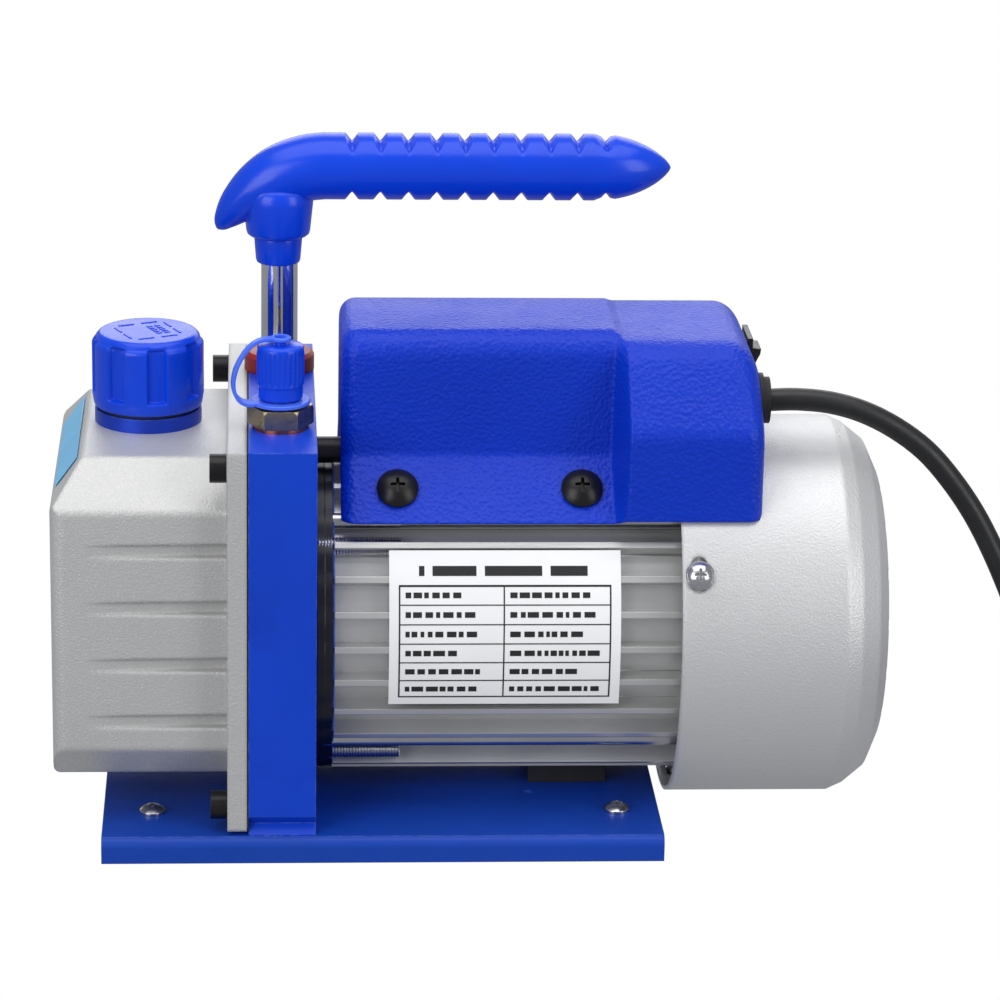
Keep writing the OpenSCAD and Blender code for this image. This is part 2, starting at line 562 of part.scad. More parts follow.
// Fins run the whole length; the four places beside the tie rods are left open
function near_rod(a) = len([for (q = rod_angle) if (abs((180 - q - a + 900) % 360 - 180) < 6) 1]) > 0;
module motor_frame() color("silver") difference() {
    union() {
        rod_x(frame_x0, frame_x1, root_r);
        for (k = [0:fin_n - 1]) let (a = 9 + 360 / fin_n * k) if (!near_rod(a % 360))
            shaft_way(frame_x0) rotate([0, 0, 90 + a]) rotate([0, 0, 0]) translate([root_r - 1.5, -1, 0])
                cube([fin_r - root_r + 1.5, 2, frame_x1 - frame_x0]);
    }
    rod_x(frame_x0 - 1, frame_x1 + 1, bore_r);
    at_rods() translate([frame_x0 - 1, 0, 0]) rotate([0, 90, 0]) cylinder(h = frame_x1 - frame_x0 + 2, r = rod_r + 0.5);
}
module rear_endshield() color("silver") difference() {
    union() {
        rod_x(frame_x1, frame_x1 + 3, fin_r - 1);
        rod_x(frame_x1, frame_x1 + 11, 20);
    }
    rod_x(frame_x1 - 1, frame_x1 + 20, shaft_r + 1);
    rod_x(frame_x1 - 1, 76, 14);
    at_rods() translate([frame_x1 - 1, 0, 0]) rotate([0, 90, 0]) cylinder(h = 10, r = rod_r + 0.2);
    for (k = [0:5]) rod_x(frame_x1 - 1, frame_x1 + 5, 4, 30 * cos(60 * k), axis_z + 30 * sin(60 * k));
}
module tie_rods() color("silver") at_rods() translate([block_x1 - 10, 0, 0]) rotate([0, 90, 0])
    cylinder(h = frame_x1 + 9 - block_x1 + 10, r = rod_r);
module tie_rod_nuts() color("silver") at_rods() translate([frame_x1 + 3, 0, 0]) rotate([0, 90, 0]) difference() {
    cylinder(h = 4, r = 4.5, $fn = 6);
    translate([0, 0, -1]) cylinder(h = 6, r = rod_r);
}
module cooling_fan() color("white") {
    tube_x(86, 103, 11, shaft_r);
    tube_x(86, 88, 48, 10.5);
    for (k = [0:8]) translate([87, 0, axis_z]) rotate([40 * k, 0, 0]) translate([0, -1, 10]) cube([14, 2, 38]);
}
cowl_t = 1.2;
cowl_out = [[cowl_r, 0], [cowl_r, cowl_l - 16.5], [cowl_r - 2, cowl_l - 12], [cowl_r - 6.8, cowl_l - 6],
    [cowl_r - 14.3, cowl_l - 2.6], [cowl_r - 30, cowl_l - 0.4], [0, cowl_l]];
cowl_in = [[0, cowl_l - cowl_t], [cowl_r - 30, cowl_l - cowl_t - 0.4], [cowl_r - 14.7, cowl_l - cowl_t - 2.6],
    [cowl_r - 7.6, cowl_l - cowl_t - 6], [cowl_r - 3, cowl_l - 12.8], [cowl_r - cowl_t, cowl_l - 17], [cowl_r - cowl_t, 0]];
cowl_screw_a = [27, 147, 267];
module at_cowl_screws() for (a = cowl_screw_a) translate([cowl_x0 + 5, 0, axis_z]) rotate([180 - a, 0, 0]) rotate([-90, 0, 0]) children();
module fan_cowl() color("silver") difference() {
    shaft_way(cowl_x0) rotate_extrude() polygon(concat(cowl_out, cowl_in));
    for (ring = [[12, 6], [24, 12], [36, 18]], k = [0:17]) if (k < ring[1])
        translate([cowl_x1 - 12, 0, axis_z]) rotate([360 / ring[1] * k, 0, 0]) translate([0, -1.6, ring[0]]) cube([14, 3.2, 8]);
    at_cowl_screws() {
        translate([0, 3.4, cowl_r - 6]) cylinder(h = 10, r = 2.4);
        translate([0, -2.4, cowl_r - 6]) cylinder(h = 10, r = 2.4);
        translate([-2.4, -2.4, cowl_r - 6]) cube([4.8, 5.8, 10]);
    }
}
// Each screw stands on the cowl and turns into a lug that rises from the end shield's rim
module cowl_screws() color("silver") at_cowl_screws() {
    translate([0, 0, cowl_r + 0.05]) cylinder(h = 0.8, r = 4.4);
    translate([0, 0, cowl_r + 0.8]) pan_head(3.8, 2.4, 1.8);
    translate([0, 0, fin_r + 0.6]) cylinder(h = cowl_r - fin_r, r = 2);
}

// ---------------------------------------------------------------- terminal box
// A rectangle with two round top corners, across and up
module arch(half, z0, z1, r) hull() {
    translate([-half, z0]) square([2 * half, 1]);
    for (s = [-1, 1]) translate([s * (half - r), z1 - r]) circle(r = r, $fn = 32);
}
module box_solid(inset) {
    q = inset;
    translate([box_x0 + q, 0, 0]) rotate([90, 0, 90]) linear_extrude(box_xw - box_x0 + 2 - q) {
        arch(box_half - q, box_fold_z - 4, box_top - q, 7 - q / 2);
        polygon([[-box_half + q, box_fold_z], [-box_skirt_y + q * 0.2, box_skirt_z - q * 0.2], [-box_skirt_y + 1.5 + q, box_skirt_z - 1.5 - q],
            [box_skirt_y - 1.5 - q, box_skirt_z - 1.5 - q], [box_skirt_y - q * 0.2, box_skirt_z - q * 0.2], [box_half - q, box_fold_z]]);
    }
    translate([box_xw + q, 0, 0]) rotate([90, 0, 90]) linear_extrude(box_x1 - box_xw - 2 * q)
        arch(box_wide_half - q, box_wide_z0 - q, box_wide_top - q, 9 - q / 2);
}
module skirt_axis(x, s) translate([x, s * 32, (box_fold_z + box_skirt_z) / 2]) rotate([s * -45.7, 0, 0]) children();
box_screw_x = [-23.8, 31.1];
module terminal_box() color("blue") difference() {
    box_solid(0);
    difference() {
        box_solid(box_wall);
        // pads under the four screws
        for (x = box_screw_x, s = [-1, 1]) skirt_axis(x, s) translate([0, 0, -4]) cylinder(h = 8, r = 5);
    }
    rod_x(box_x0 - 5, cowl_x0 - 1.5, fin_r + 1.2);
    rod_x(cowl_x0 - 2, box_x1 + 5, cowl_r + 0.6);
    for (x = box_screw_x, s = [-1, 1]) skirt_axis(x, s) translate([0, 0, -6]) cylinder(h = 20, r = 2.1);
    rod_x(box_x1 - 5, box_x1 + 5, 6.2, gland_y, gland_z);
    translate([box_x1 - 5, switch_y - 6.5, gland_z - 9.5]) cube([10, 13, 19]);
    rod_x(box_x0 - 5, box_x0 + 5, 4, -14, stud_z);
}
module box_screws() color("black") for (x = box_screw_x, s = [-1, 1]) skirt_axis(x, s) {
    translate([0, 0, 0.5]) pan_head(6.2, 3.4, 2.2);
    translate([0, 0, -3.2]) cylinder(h = 4, r = 2);
}
module box_stud() color("black") rod_x(block_x1 - 6, box_x0 + 4, 4, -14, stud_z);
module run_capacitor() color("lightgray") {
    rod_x(-32, 28, 15.5, 0, capacitor_z);
    for (y = [-5, 5]) rod_x(28 - 0.5, 34, 1.5, y, capacitor_z);
}
module switch_body() color("black") difference() {
    union() {
        translate([box_x1, switch_y - 8, gland_z - 11]) cube([1.6, 16, 22]);
        translate([box_x1 - 14, switch_y - 6.5, gland_z - 9.5]) cube([14.5, 13, 19]);
    }
    translate([box_x1 - 7, switch_y - 5, gland_z - 8]) cube([12, 10, 16]);
}
module switch_rocker() color("black") intersection() {
    translate([box_x1 - 5, switch_y - 4.8, gland_z - 7.7]) cube([20, 9.6, 15.4]);
    translate([box_x1 + 1, switch_y, gland_z]) rotate([0, 8, 0]) translate([-1, 0, 0]) difference() {
        translate([-3.4, -4.8, -7.2]) cube([7, 9.6, 14.4]);
        translate([15.2, 10, 0]) rotate([90, 0, 0]) cylinder(h = 20, r = 12.8);
    }
}
module cord_gland() color("black") difference() {
    union() {
        rod_x(box_x1, box_x1 + 1.4, 8.2, gland_y, gland_z);
        rod_x(box_x1 + 1.4 - eps, box_x1 + 3.4, 7, gland_y, gland_z);
        rod_x(box_x1 - 6, box_x1 + 1, 6.1, gland_y, gland_z);
    }
    rod_x(box_x1 - 10, box_x1 + 10, cord_r, gland_y, gland_z);
}
// A thin plate bent round the fins' tips, on the intake side
module nameplate() color("white") intersection() {
    tube_x(-26.4, 42.3, fin_r + 0.45, fin_r + 0.02);
    translate([0, 0, axis_z]) rotate([90, 0, 90]) linear_extrude(120, center = true)
        polygon([[0, 0], [-80 * cos(37), 80 * sin(37)], [-90, 10], [-80 * cos(17), -80 * sin(17)]]);
}

// ---------------------------------------------------------------- power cord
module power_cord() color("black") sweep_tube(cord_route, cord_r);
module cord_coil() color("black") translate([coil_x, coil_y, 0]) rotate_extrude()
    translate([coil_mid_r - cord_d, 0]) square([coil_rows * cord_d, coil_layers * cord_d]);
module cord_tail() color("black") sweep_tube(tail_route, cord_r, across = [1, 0, 0]);
module power_plug() color("black") translate(tail_route[4]) {
    rotate([-90, 0, 0]) cylinder(h = 12, r1 = 5, r2 = 7);
    translate([-12, 11.9, -11]) cube([24, 24, 22]);
    for (s = [-1, 1]) translate([s * 6.35 - 0.75, 35.8, -1]) cube([1.5, 17.5, 6.3]);
    translate([0, 35.8, -6.5]) rotate([-90, 0, 0]) cylinder(h = 19.5, r = 2.4);
}

base_plate();
rubber_feet();
foot_screws();
motor_support();
base_bolts();
oil_tank();
tank_gasket();
tank_bolts();
sight_glass();
sight_glass_ring();
drain_plug();
filler_collar();
oil_cap_seal();
oil_cap();
demister();
tank_sticker();
pump_block();
intake_fitting();
intake_washer();
dust_cap();
dust_cap_strap();
handle_stem();
handle_collar();
handle_grip();
pump_cylinder();
pump_end_cover();
pump_bolts();
pump_rotor();
vane_front();
vane_rear();
vane_springs();
exhaust_reed();
reed_stop();
reed_screws();
shaft_seal();
front_bearing();
rear_bearing();
motor_shaft();
motor_rotor();
stator_core();
stator_windings();
motor_frame();
rear_endshield();
tie_rods();
tie_rod_nuts();
cooling_fan();
fan_cowl();
cowl_screws();
terminal_box();
box_screws();
box_stud();
run_capacitor();
switch_body();
switch_rocker();
cord_gland();
nameplate();
power_cord();
cord_coil();
cord_tail();
power_plug();
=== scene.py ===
import json
import math
import random

import bmesh
import bpy
from mathutils import Matrix, Vector


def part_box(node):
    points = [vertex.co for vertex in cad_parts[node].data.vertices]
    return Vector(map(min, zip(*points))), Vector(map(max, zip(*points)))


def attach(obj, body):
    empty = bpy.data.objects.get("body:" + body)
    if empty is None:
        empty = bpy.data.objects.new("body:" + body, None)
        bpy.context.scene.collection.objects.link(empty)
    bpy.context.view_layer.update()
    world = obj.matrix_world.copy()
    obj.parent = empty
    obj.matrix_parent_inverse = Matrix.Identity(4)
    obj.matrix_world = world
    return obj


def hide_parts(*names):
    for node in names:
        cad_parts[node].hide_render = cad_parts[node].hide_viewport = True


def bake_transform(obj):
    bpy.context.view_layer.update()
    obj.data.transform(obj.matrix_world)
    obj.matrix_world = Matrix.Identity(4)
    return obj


MM = 0.001
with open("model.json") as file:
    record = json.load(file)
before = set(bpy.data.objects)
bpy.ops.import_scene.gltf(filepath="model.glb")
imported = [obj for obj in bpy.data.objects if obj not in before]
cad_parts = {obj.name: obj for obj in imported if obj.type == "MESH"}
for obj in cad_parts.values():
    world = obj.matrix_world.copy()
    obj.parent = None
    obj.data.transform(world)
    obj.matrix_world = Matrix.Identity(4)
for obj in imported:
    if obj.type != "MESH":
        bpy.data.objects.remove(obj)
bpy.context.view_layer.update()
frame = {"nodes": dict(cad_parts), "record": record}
random.seed(7)
scene = bpy.context.scene


# ------------------------------------------------------------------ camera
def camera():
    """A long lens from the intake side, a little above, its picture's rows level with the shaft."""
    eye = Vector((-0.066, -1.1875, 0.4904))
    across, dip = 0.0598, math.radians(18.2)
    way = Vector((across, math.cos(dip), -math.sin(dip))).normalized()
    right = (Vector((1, 0, 0)) - way * way.x).normalized()
    up = right.cross(way)
    data = bpy.data.cameras.new("camera")
    data.lens, data.sensor_width, data.clip_start = 147.5, 36, 0.05
    cam = bpy.data.objects.new("camera", data)
    scene.collection.objects.link(cam)
    cam.matrix_world = Matrix(((right.x, up.x, -way.x, eye.x), (right.y, up.y, -way.y, eye.y),
                        (right.z, up.z, -way.z, eye.z), (0, 0, 0, 1)))
    scene.camera = cam


camera()


# ------------------------------------------------------------------ materials
class Nodes:
    """Short calls for building a node tree."""

    def __init__(self, name):
        self.mat = bpy.data.materials.new(name)
        self.mat.use_nodes = True
        self.tree = self.mat.node_tree
        self.bsdf = self.tree.nodes["Principled BSDF"]
        self.coord = self.add("ShaderNodeTexCoord").outputs["Object"]

    def add(self, kind, **sets):
        node = self.tree.nodes.new(kind)
        for key, value in sets.items():
            setattr(node, key, value)
        return node

    def link(self, a, b):
        self.tree.links.new(a, b)

    def put(self, socket, value):
        if hasattr(value, "is_output"):
            self.link(value, socket)
        else:
            socket.default_value = value

    def noise(self, scale, detail=3.0, rough=0.5, coord=None):
        node = self.add("ShaderNodeTexNoise")
        node.inputs["Scale"].default_value = scale
        node.inputs["Detail"].default_value = detail
        node.inputs["Roughness"].default_value = rough
        self.link(coord or self.coord, node.inputs["Vector"])
        return node.outputs["Fac"]

    def cells(self, scale, feature="F1"):
        node = self.add("ShaderNodeTexVoronoi", feature=feature)
        node.inputs["Scale"].default_value = scale
        self.link(self.coord, node.inputs["Vector"])
        return node.outputs["Distance"]

    def span(self, value, low, high, to_low, to_high):
        node = self.add("ShaderNodeMapRange")
        self.link(value, node.inputs["Value"])
        for key, v in zip(("From Min", "From Max", "To Min", "To Max"), (low, high, to_low, to_high)):
            self.put(node.inputs[key], v)
        return node.outputs["Result"]

    def math(self, operation, a, b=0.0):
        node = self.add("ShaderNodeMath", operation=operation)
        self.put(node.inputs[0], a)
        self.put(node.inputs[1], b)
        return node.outputs[0]

    def mix(self, fac, a, b):
        node = self.add("ShaderNodeMix", data_type="RGBA")
        self.put(node.inputs["Factor"], fac)
        self.put(node.inputs["A"], a)
        self.put(node.inputs["B"], b)
        return node.outputs["Result"]

    def scaled(self, x, y, z):
        node = self.add("ShaderNodeMapping")
        node.inputs["Scale"].default_value = (x, y, z)
        self.link(self.coord, node.inputs["Vector"])
        return node.outputs["Vector"]

    def bump(self, height, depth, normal=None):
        node = self.add("ShaderNodeBump")
        node.inputs["Distance"].default_value = depth
        node.inputs["Strength"].default_value = 1.0
        self.link(height, node.inputs["Height"])
        if normal is not None:
            self.link(normal, node.inputs["Normal"])
        return node.outputs["Normal"]

    def round_edges(self, radius):
        node = self.add("ShaderNodeBevel", samples=6)
        node.inputs["Radius"].default_value = radius
        return node.outputs["Normal"]

    def edge_mask(self, radius):
        """1 on outer and inner edges, 0 on flats."""
        flat = self.add("ShaderNodeNewGeometry").outputs["Normal"]
        dot = self.add("ShaderNodeVectorMath", operation="DOT_PRODUCT")
        self.link(self.round_edges(radius), dot.inputs[0])
        self.link(flat, dot.inputs[1])
        return self.span(dot.outputs["Value"], 0.98, 0.8, 0.0, 1.0)


def rgb(r, g, b):
    """Display colour 0..255 to the linear values of a shader socket."""
    def one(v):
        v /= 255
        return v / 12.92 if v <= 0.04045 else ((v + 0.055) / 1.055) ** 2.4
    return (one(r), one(g), one(b), 1.0)


MATERIALS = {}


def surface(name, colour, rough, metallic=0.0, dark=0.9, light=1.06, mottle=18.0, grain=(), edge=0.0,
            wear=None, rough_spread=0.06, streak=None, spark=None, specular=0.5, dirt=None):
    """A finish with colour drift, uneven gloss, fine relief, rounded edges and worn corners."""
    n = Nodes(name)
    drift = n.noise(mottle, 4.0, 0.6)
    low = tuple(c * dark for c in colour[:3]) + (1,)
    high = tuple(min(1, c * light) for c in colour[:3]) + (1,)
    col = n.mix(n.span(drift, 0.3, 0.7, 0, 1), low, high)
    if spark:
        size, tint, cover = spark
        fleck = n.span(n.cells(size), cover, cover * 0.4, 0, 1)
        col = n.mix(fleck, col, tint)
    if dirt:
        stain = n.span(n.noise(dirt[1], 5, 0.7), 0.52, 0.75, 0, dirt[2])
        col = n.mix(stain, col, dirt[0])
    if wear:
        tint, radius, amount = wear
        mask = n.math("MULTIPLY", n.edge_mask(radius), n.span(n.noise(260, 5, 0.7), 0.42, 0.62, 0, amount))
        col = n.mix(mask, col, tint)
    n.put(n.bsdf.inputs["Base Color"], col)
    gloss = n.noise(mottle * 5, 4.0, 0.6)
    if streak:
        stretched = n.noise(streak[0], 3.0, 0.6, n.scaled(*streak[1]))
        gloss = n.mix(0.6, gloss, stretched)
    glossy, matt = max(0.02, rough - rough_spread), rough + rough_spread
    n.put(n.bsdf.inputs["Roughness"], n.span(gloss, 0.25, 0.75, glossy, matt))
    n.bsdf.inputs["Metallic"].default_value = metallic
    n.bsdf.inputs["Specular IOR Level"].default_value = specular
    normal = n.round_edges(edge) if edge else None
    for kind, scale, depth in grain:
        if kind == "cells":
            height = n.cells(scale, "SMOOTH_F1")
        elif kind == "streak":
            height = n.noise(scale, 2.0, 0.5, n.scaled(*streak[1]))
        else:
            height = n.noise(scale, 3.0, 0.55)
        normal = n.bump(height, depth, normal)
    if normal is not None:
        n.link(normal, n.bsdf.inputs["Normal"])
    MATERIALS[name] = n.mat
    return n


STEEL = rgb(196, 196, 198)
PALE_BLUE = rgb(120, 150, 225)
surface("plate_paint", rgb(14, 66, 174), 0.42, specular=0.3, mottle=9,
        grain=(("noise", 900, 0.00002),), edge=0.0006,
        wear=(rgb(96, 132, 205), 0.0005, 0.5), dirt=(rgb(12, 50, 140), 30, 0.35))
surface("block_paint", rgb(4, 64, 200), 0.4, specular=0.3, mottle=14,
        grain=(("noise", 1500, 0.000015),), edge=0.0005,
        wear=(PALE_BLUE, 0.0006, 0.7), dirt=(rgb(8, 40, 165), 40, 0.35))
surface("blue_anodised", rgb(26, 62, 190), 0.34, metallic=0.6, edge=0.0004, wear=(PALE_BLUE, 0.0004, 0.5),
        grain=(("noise", 2200, 0.000008),))
surface("blue_texture", rgb(1, 52, 192), 0.4, specular=0.26, mottle=10,
        grain=(("cells", 900, 0.00034), ("noise", 2600, 0.00003)), edge=0.0008,
        spark=(1400, rgb(24, 84, 222), 0.10))
surface("blue_plastic", rgb(6, 66, 216), 0.25, specular=0.35, mottle=22,
        grain=(("noise", 420, 0.000025),), edge=0.0004,
        rough_spread=0.05)
surface("strap_blue", rgb(70, 112, 238), 0.38, mottle=60, grain=(("noise", 700, 0.00002),))
surface("sticker_blue", rgb(112, 188, 232), 0.35, mottle=40, grain=(("noise", 1800, 0.000006),))
surface("red_collar", rgb(160, 26, 26), 0.4, mottle=60, grain=(("noise", 1500, 0.00002),), edge=0.0004,
        wear=(rgb(214, 110, 100), 0.0004, 0.5))
surface("silver_cast", rgb(198, 198, 196), 0.4, metallic=0.35, mottle=7,
        grain=(("noise", 1500, 0.00022), ("noise", 600, 0.00006)), edge=0.0016, rough_spread=0.04,
        spark=(1900, rgb(244, 244, 244), 0.2), dark=0.93, light=1.03)
surface("silver_extrusion", rgb(214, 214, 212), 0.34, metallic=0.7, mottle=12, streak=(60, (1, 30, 30)),
        grain=(("streak", 60, 0.00003), ("noise", 2400, 0.000012)), edge=0.0004)
surface("silver_cowl", rgb(212, 212, 212), 0.4, metallic=0.4, mottle=8,
        grain=(("noise", 1500, 0.0002),), spark=(1900, rgb(240, 240, 240), 0.18),
        edge=0.002, rough_spread=0.04, dark=0.96, light=1.03)
surface("machined_alu", rgb(205, 205, 206), 0.25, metallic=1.0, mottle=30, streak=(400, (1, 1, 12)),
        grain=(("streak", 400, 0.00001),), edge=0.0003)
surface("steel", STEEL, 0.24, metallic=1.0, mottle=40, streak=(220, (0.15, 3, 3)), edge=0.0002,
        grain=(("streak", 220, 0.00001),))
surface("zinc_screw", rgb(205, 205, 208), 0.2, metallic=1.0, mottle=150, edge=0.0003,
        grain=(("noise", 1500, 0.00001),), dark=0.8)
surface("chrome_stem", rgb(222, 222, 224), 0.08, metallic=1.0, mottle=60, grain=(("noise", 900, 0.000004),),
        edge=0.0003, rough_spread=0.03)
surface("black_oxide", rgb(34, 33, 34), 0.33, metallic=0.55, mottle=120, edge=0.0003,
        wear=(rgb(95, 93, 92), 0.0003, 0.5), grain=(("noise", 1600, 0.000015),))
surface("cast_iron", rgb(112, 112, 113), 0.5, metallic=0.8, mottle=60,
        grain=(("noise", 900, 0.00006),), edge=0.0004)
surface("laminations", rgb(120, 120, 122), 0.42, metallic=0.9, mottle=50, streak=(900, (2, 0.05, 0.05)),
        grain=(("streak", 900, 0.00005),))
surface("copper_wire", rgb(168, 92, 48), 0.32, metallic=0.9, mottle=80, streak=(500, (2, 0.4, 0.4)),
        grain=(("streak", 500, 0.0002),))
surface("copper_washer", rgb(214, 126, 84), 0.25, metallic=1.0, mottle=200, edge=0.0002,
        dirt=(rgb(150, 78, 48), 300, 0.5), grain=(("noise", 1500, 0.00001),))
surface("aged_brass", rgb(172, 158, 124), 0.3, metallic=1.0, mottle=140, edge=0.0003,
        dirt=(rgb(92, 74, 48), 260, 0.7), wear=(rgb(222, 214, 190), 0.0004, 0.7),
        grain=(("noise", 1300, 0.00002),))
surface("brass_plug", rgb(206, 172, 100), 0.26, metallic=1.0, mottle=120, edge=0.0003,
        dirt=(rgb(120, 92, 50), 200, 0.4), grain=(("noise", 1300, 0.00001),))
surface("black_rubber", rgb(28, 28, 29), 0.62, mottle=80, grain=(("noise", 1100, 0.00004),), edge=0.0004,
        dirt=(rgb(70, 68, 66), 120, 0.2))
surface("cord_rubber", rgb(22, 22, 23), 0.42, mottle=50, grain=(("noise", 1600, 0.00002),),
        dirt=(rgb(60, 60, 62), 90, 0.18))
surface("black_plastic", rgb(26, 26, 28), 0.36, mottle=60, grain=(("cells", 2200, 0.00002),), edge=0.0004)
surface("white_plastic", rgb(222, 222, 218), 0.4, mottle=60, grain=(("noise", 1400, 0.00002),), edge=0.0005)
surface("gasket_fibre", rgb(36, 36, 37), 0.75, mottle=200, grain=(("noise", 1800, 0.00005),))
surface("grey_felt", rgb(150, 150, 146), 0.9, mottle=300, grain=(("noise", 2200, 0.0002),))
surface("vane_fibre", rgb(124, 84, 52), 0.5, mottle=200, streak=(700, (0.2, 1, 6)),
        grain=(("streak", 700, 0.00003),))
surface("label_foil", rgb(250, 250, 250), 0.34, metallic=0.0, mottle=14, streak=(700, (0.1, 4, 4)),
        grain=(("streak", 700, 0.000006),), rough_spread=0.05)
# near-black blue for the collar behind the block: painted shade in the recess, where the real casting is blue
surface("painted_shade_casting", rgb(12, 14, 26), 0.4, mottle=60, grain=(("noise", 1200, 0.00003),), edge=0.0004)
surface("ink", rgb(32, 32, 34), 0.45, mottle=200, grain=(("noise", 1800, 0.000008),))
surface("sticker_ink", rgb(60, 92, 150), 0.45, mottle=200, grain=(("noise", 1800, 0.000008),))
glass = surface("sight_glass", rgb(222, 210, 150), 0.05, mottle=40, grain=(("noise", 300, 0.00001),))
glass.bsdf.inputs["Transmission Weight"].default_value = 0.9
glass.bsdf.inputs["IOR"].default_value = 1.47

SLOT_OF = {s["node"]: s["material_slot"] for s in frame["record"]["subparts"]}
NODES = frame["nodes"]
for name, obj in NODES.items():
    obj.data.materials.clear()
    obj.data.materials.append(MATERIALS[SLOT_OF[name]])
BODY_OF = {node: body for body, nodes in frame["record"]["behaviour"]["bodies"].items() for node in nodes}


# ------------------------------------------------------------------ mesh helpers
def piece(name, verts, faces, slot, body, replaces=(), material=None, sharp=35.0):
    """A new mesh piece, given in millimetres, that rides on a body; edges over sharp degrees stay crisp."""
    mesh = bpy.data.meshes.new(name)
    mesh.from_pydata([(x * MM, y * MM, z * MM) for x, y, z in verts], [], faces)
    bm = bmesh.new()
    bm.from_mesh(mesh)
    bmesh.ops.remove_doubles(bm, verts=bm.verts, dist=1e-6)
    bmesh.ops.recalc_face_normals(bm, faces=bm.faces)
    bm.to_mesh(mesh)
    bm.free()
    mesh.materials.append(MATERIALS[material or slot])
    mesh.shade_smooth()
    mesh.set_sharp_from_angle(angle=math.radians(sharp))
    obj = bpy.data.objects.new(name, mesh)
    scene.collection.objects.link(obj)
    if body:
        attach(obj, body)
    if replaces:
        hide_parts(*replaces)
    return obj


def loft(rings, cap_start=True, cap_end=True):
    """Faces over closed rings of equally many points; a ring is a list of points."""
    verts, faces = [p for ring in rings for p in ring], []
    n = len(rings[0])
    for i in range(len(rings) - 1):
        for k in range(n):
            a, b = i * n + k, i * n + (k + 1) % n
            faces.append((a, b, b + n, a + n))
    if cap_start:
        faces.append(tuple(reversed(range(n))))
    if cap_end:
        base = (len(rings) - 1) * n
        faces.append(tuple(base + k for k in range(n)))
    return verts, faces


def join(*parts):
    verts, faces = [], []
    for v, f in parts:
        base = len(verts)
        verts += v
        faces += [tuple(i + base for i in face) for face in f]
    return verts, faces


def lathe_z(profile, at=(0, 0, 0), steps=96, bulge=None):
    """Rings round a vertical axis from (radius, height) pairs; bulge(angle, radius, height) moves the radius."""
    rings = []
    for r, z in profile:
        ring = []
        for a in turns(steps):
            rr = bulge(a, r, z) if bulge else r
            ring.append((at[0] + rr * math.cos(a), at[1] + rr * math.sin(a), at[2] + z))
        rings.append(ring)
    return rings


def turns(count):
    """Evenly spaced angles round a circle."""
    return [2 * math.pi * k / count for k in range(count)]


def smoothstep(t):
    t = max(0.0, min(1.0, t))
    return t * t * (3 - 2 * t)


def centre(node):
    low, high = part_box(node)
    return [(a + b) / 2 / MM for a, b in zip(low, high)]


def edges(node):
    low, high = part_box(node)
    return [v / MM for v in low], [v / MM for v in high]


AXIS_Z = centre("fan_cowl")[2]


# ------------------------------------------------------------------ power cord
CORD_R = 3.5
ROUTE = [(88.3, -18, 137.5), (96, -18, 137.7), (106, -18.2, 136.8), (116, -18.6, 134.1), (126, -19.2, 129.2),
         (135.5, -20, 122.3), (143.5, -21, 113.5), (150.8, -22, 103.2), (157.1, -23.2, 91.7), (162.8, -24.6, 79.2),
         (167.8, -26, 66.4), (172.5, -27.5, 53.6), (177.4, -29.2, 41.2), (182, -31, 29.5), (187.2, -33, 19),
         (193.7, -34.6, 10.2), (201.5, -35.2, 5), (210, -35, 3.6)]
TAIL = [(261.1, 23, 17.2), (260.5, 31, 14.6), (259.7, 39, 11.8), (258.5, 47.5, 11)]
COIL = (218.5, 14)
COIL_INNER, COIL_OUTER = 35.0, 42.0
PLUG_AT = (258.5, 47, 11)
# Half the blades' spacing, and how far the round pin sits below the plug's axis
BLADE_OFF, EARTH_DROP = 6.35, 6.5


def coil_points():
    """Six turns, two wide and three high, that climb a layer at a time."""
    points = []
    layer = [(COIL_OUTER, 3.6), (COIL_INNER, 3.6), (COIL_INNER, 10.5), (COIL_OUTER, 10.5), (COIL_OUTER, 17.4),
             (COIL_INNER + 0.2, 17.4)]
    steps = 40
    for i, (r, z) in enumerate(layer):
        r2, z2 = layer[min(i + 1, 5)]
        for k in range(steps):
            t = k / steps
            s = smoothstep((t - 0.82) / 0.18)
            a = math.radians(-90) + 2 * math.pi * t
            rr, zz = r + (r2 - r) * s, z + (z2 - z) * s
            wob = 0.25 * math.sin(3 * a + i * 1.7)
            points.append((COIL[0] + (rr + wob) * math.cos(a), COIL[1] + (rr + wob) * math.sin(a), zz))
    for k in range(10):
        a = math.radians(-90 + 9 * k)
        rr = 35.2 + 7.0 * smoothstep(k / 9)
        points.append((COIL[0] + rr * math.cos(a), COIL[1] + rr * math.sin(a), 17.4))
    return points


def cord_curve():
    """The whole cord as one smooth tube, with its length in metres."""
    points = ROUTE + coil_points()[2:] + TAIL
    curve = bpy.data.curves.new("power_cord_line", "CURVE")
    curve.dimensions, curve.use_fill_caps = "3D", True
    curve.bevel_depth, curve.bevel_resolution = CORD_R * MM, 4
    spline = curve.splines.new("POLY")
    fine = []
    for i in range(len(points) - 1):
        p0, p1, p2, p3 = (Vector(points[max(0, min(len(points) - 1, i + d))]) for d in (-1, 0, 1, 2))
        steps = 4 if (p2 - p1).length > 6.5 else 2
        for k in range(steps):
            t = k / steps
            fine.append(0.5 * (2 * p1 + (p2 - p0) * t + (2 * p0 - 5 * p1 + 4 * p2 - p3) * t * t
                               + (3 * p1 - p0 - 3 * p2 + p3) * t ** 3))
    fine.append(Vector(points[-1]))
    spline.points.add(len(fine) - 1)
    for target, p in zip(spline.points, fine):
        target.co = (p.x * MM, p.y * MM, p.z * MM, 1)
    length = sum((b - a).length for a, b in zip(fine, fine[1:])) * MM
    curve.materials.append(MATERIALS["cord_rubber"])
    obj = bpy.data.objects.new("power_cord_line", curve)
    scene.collection.objects.link(obj)
    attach(obj, "machine")
    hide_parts("power_cord", "cord_coil", "cord_tail")
    return obj, length


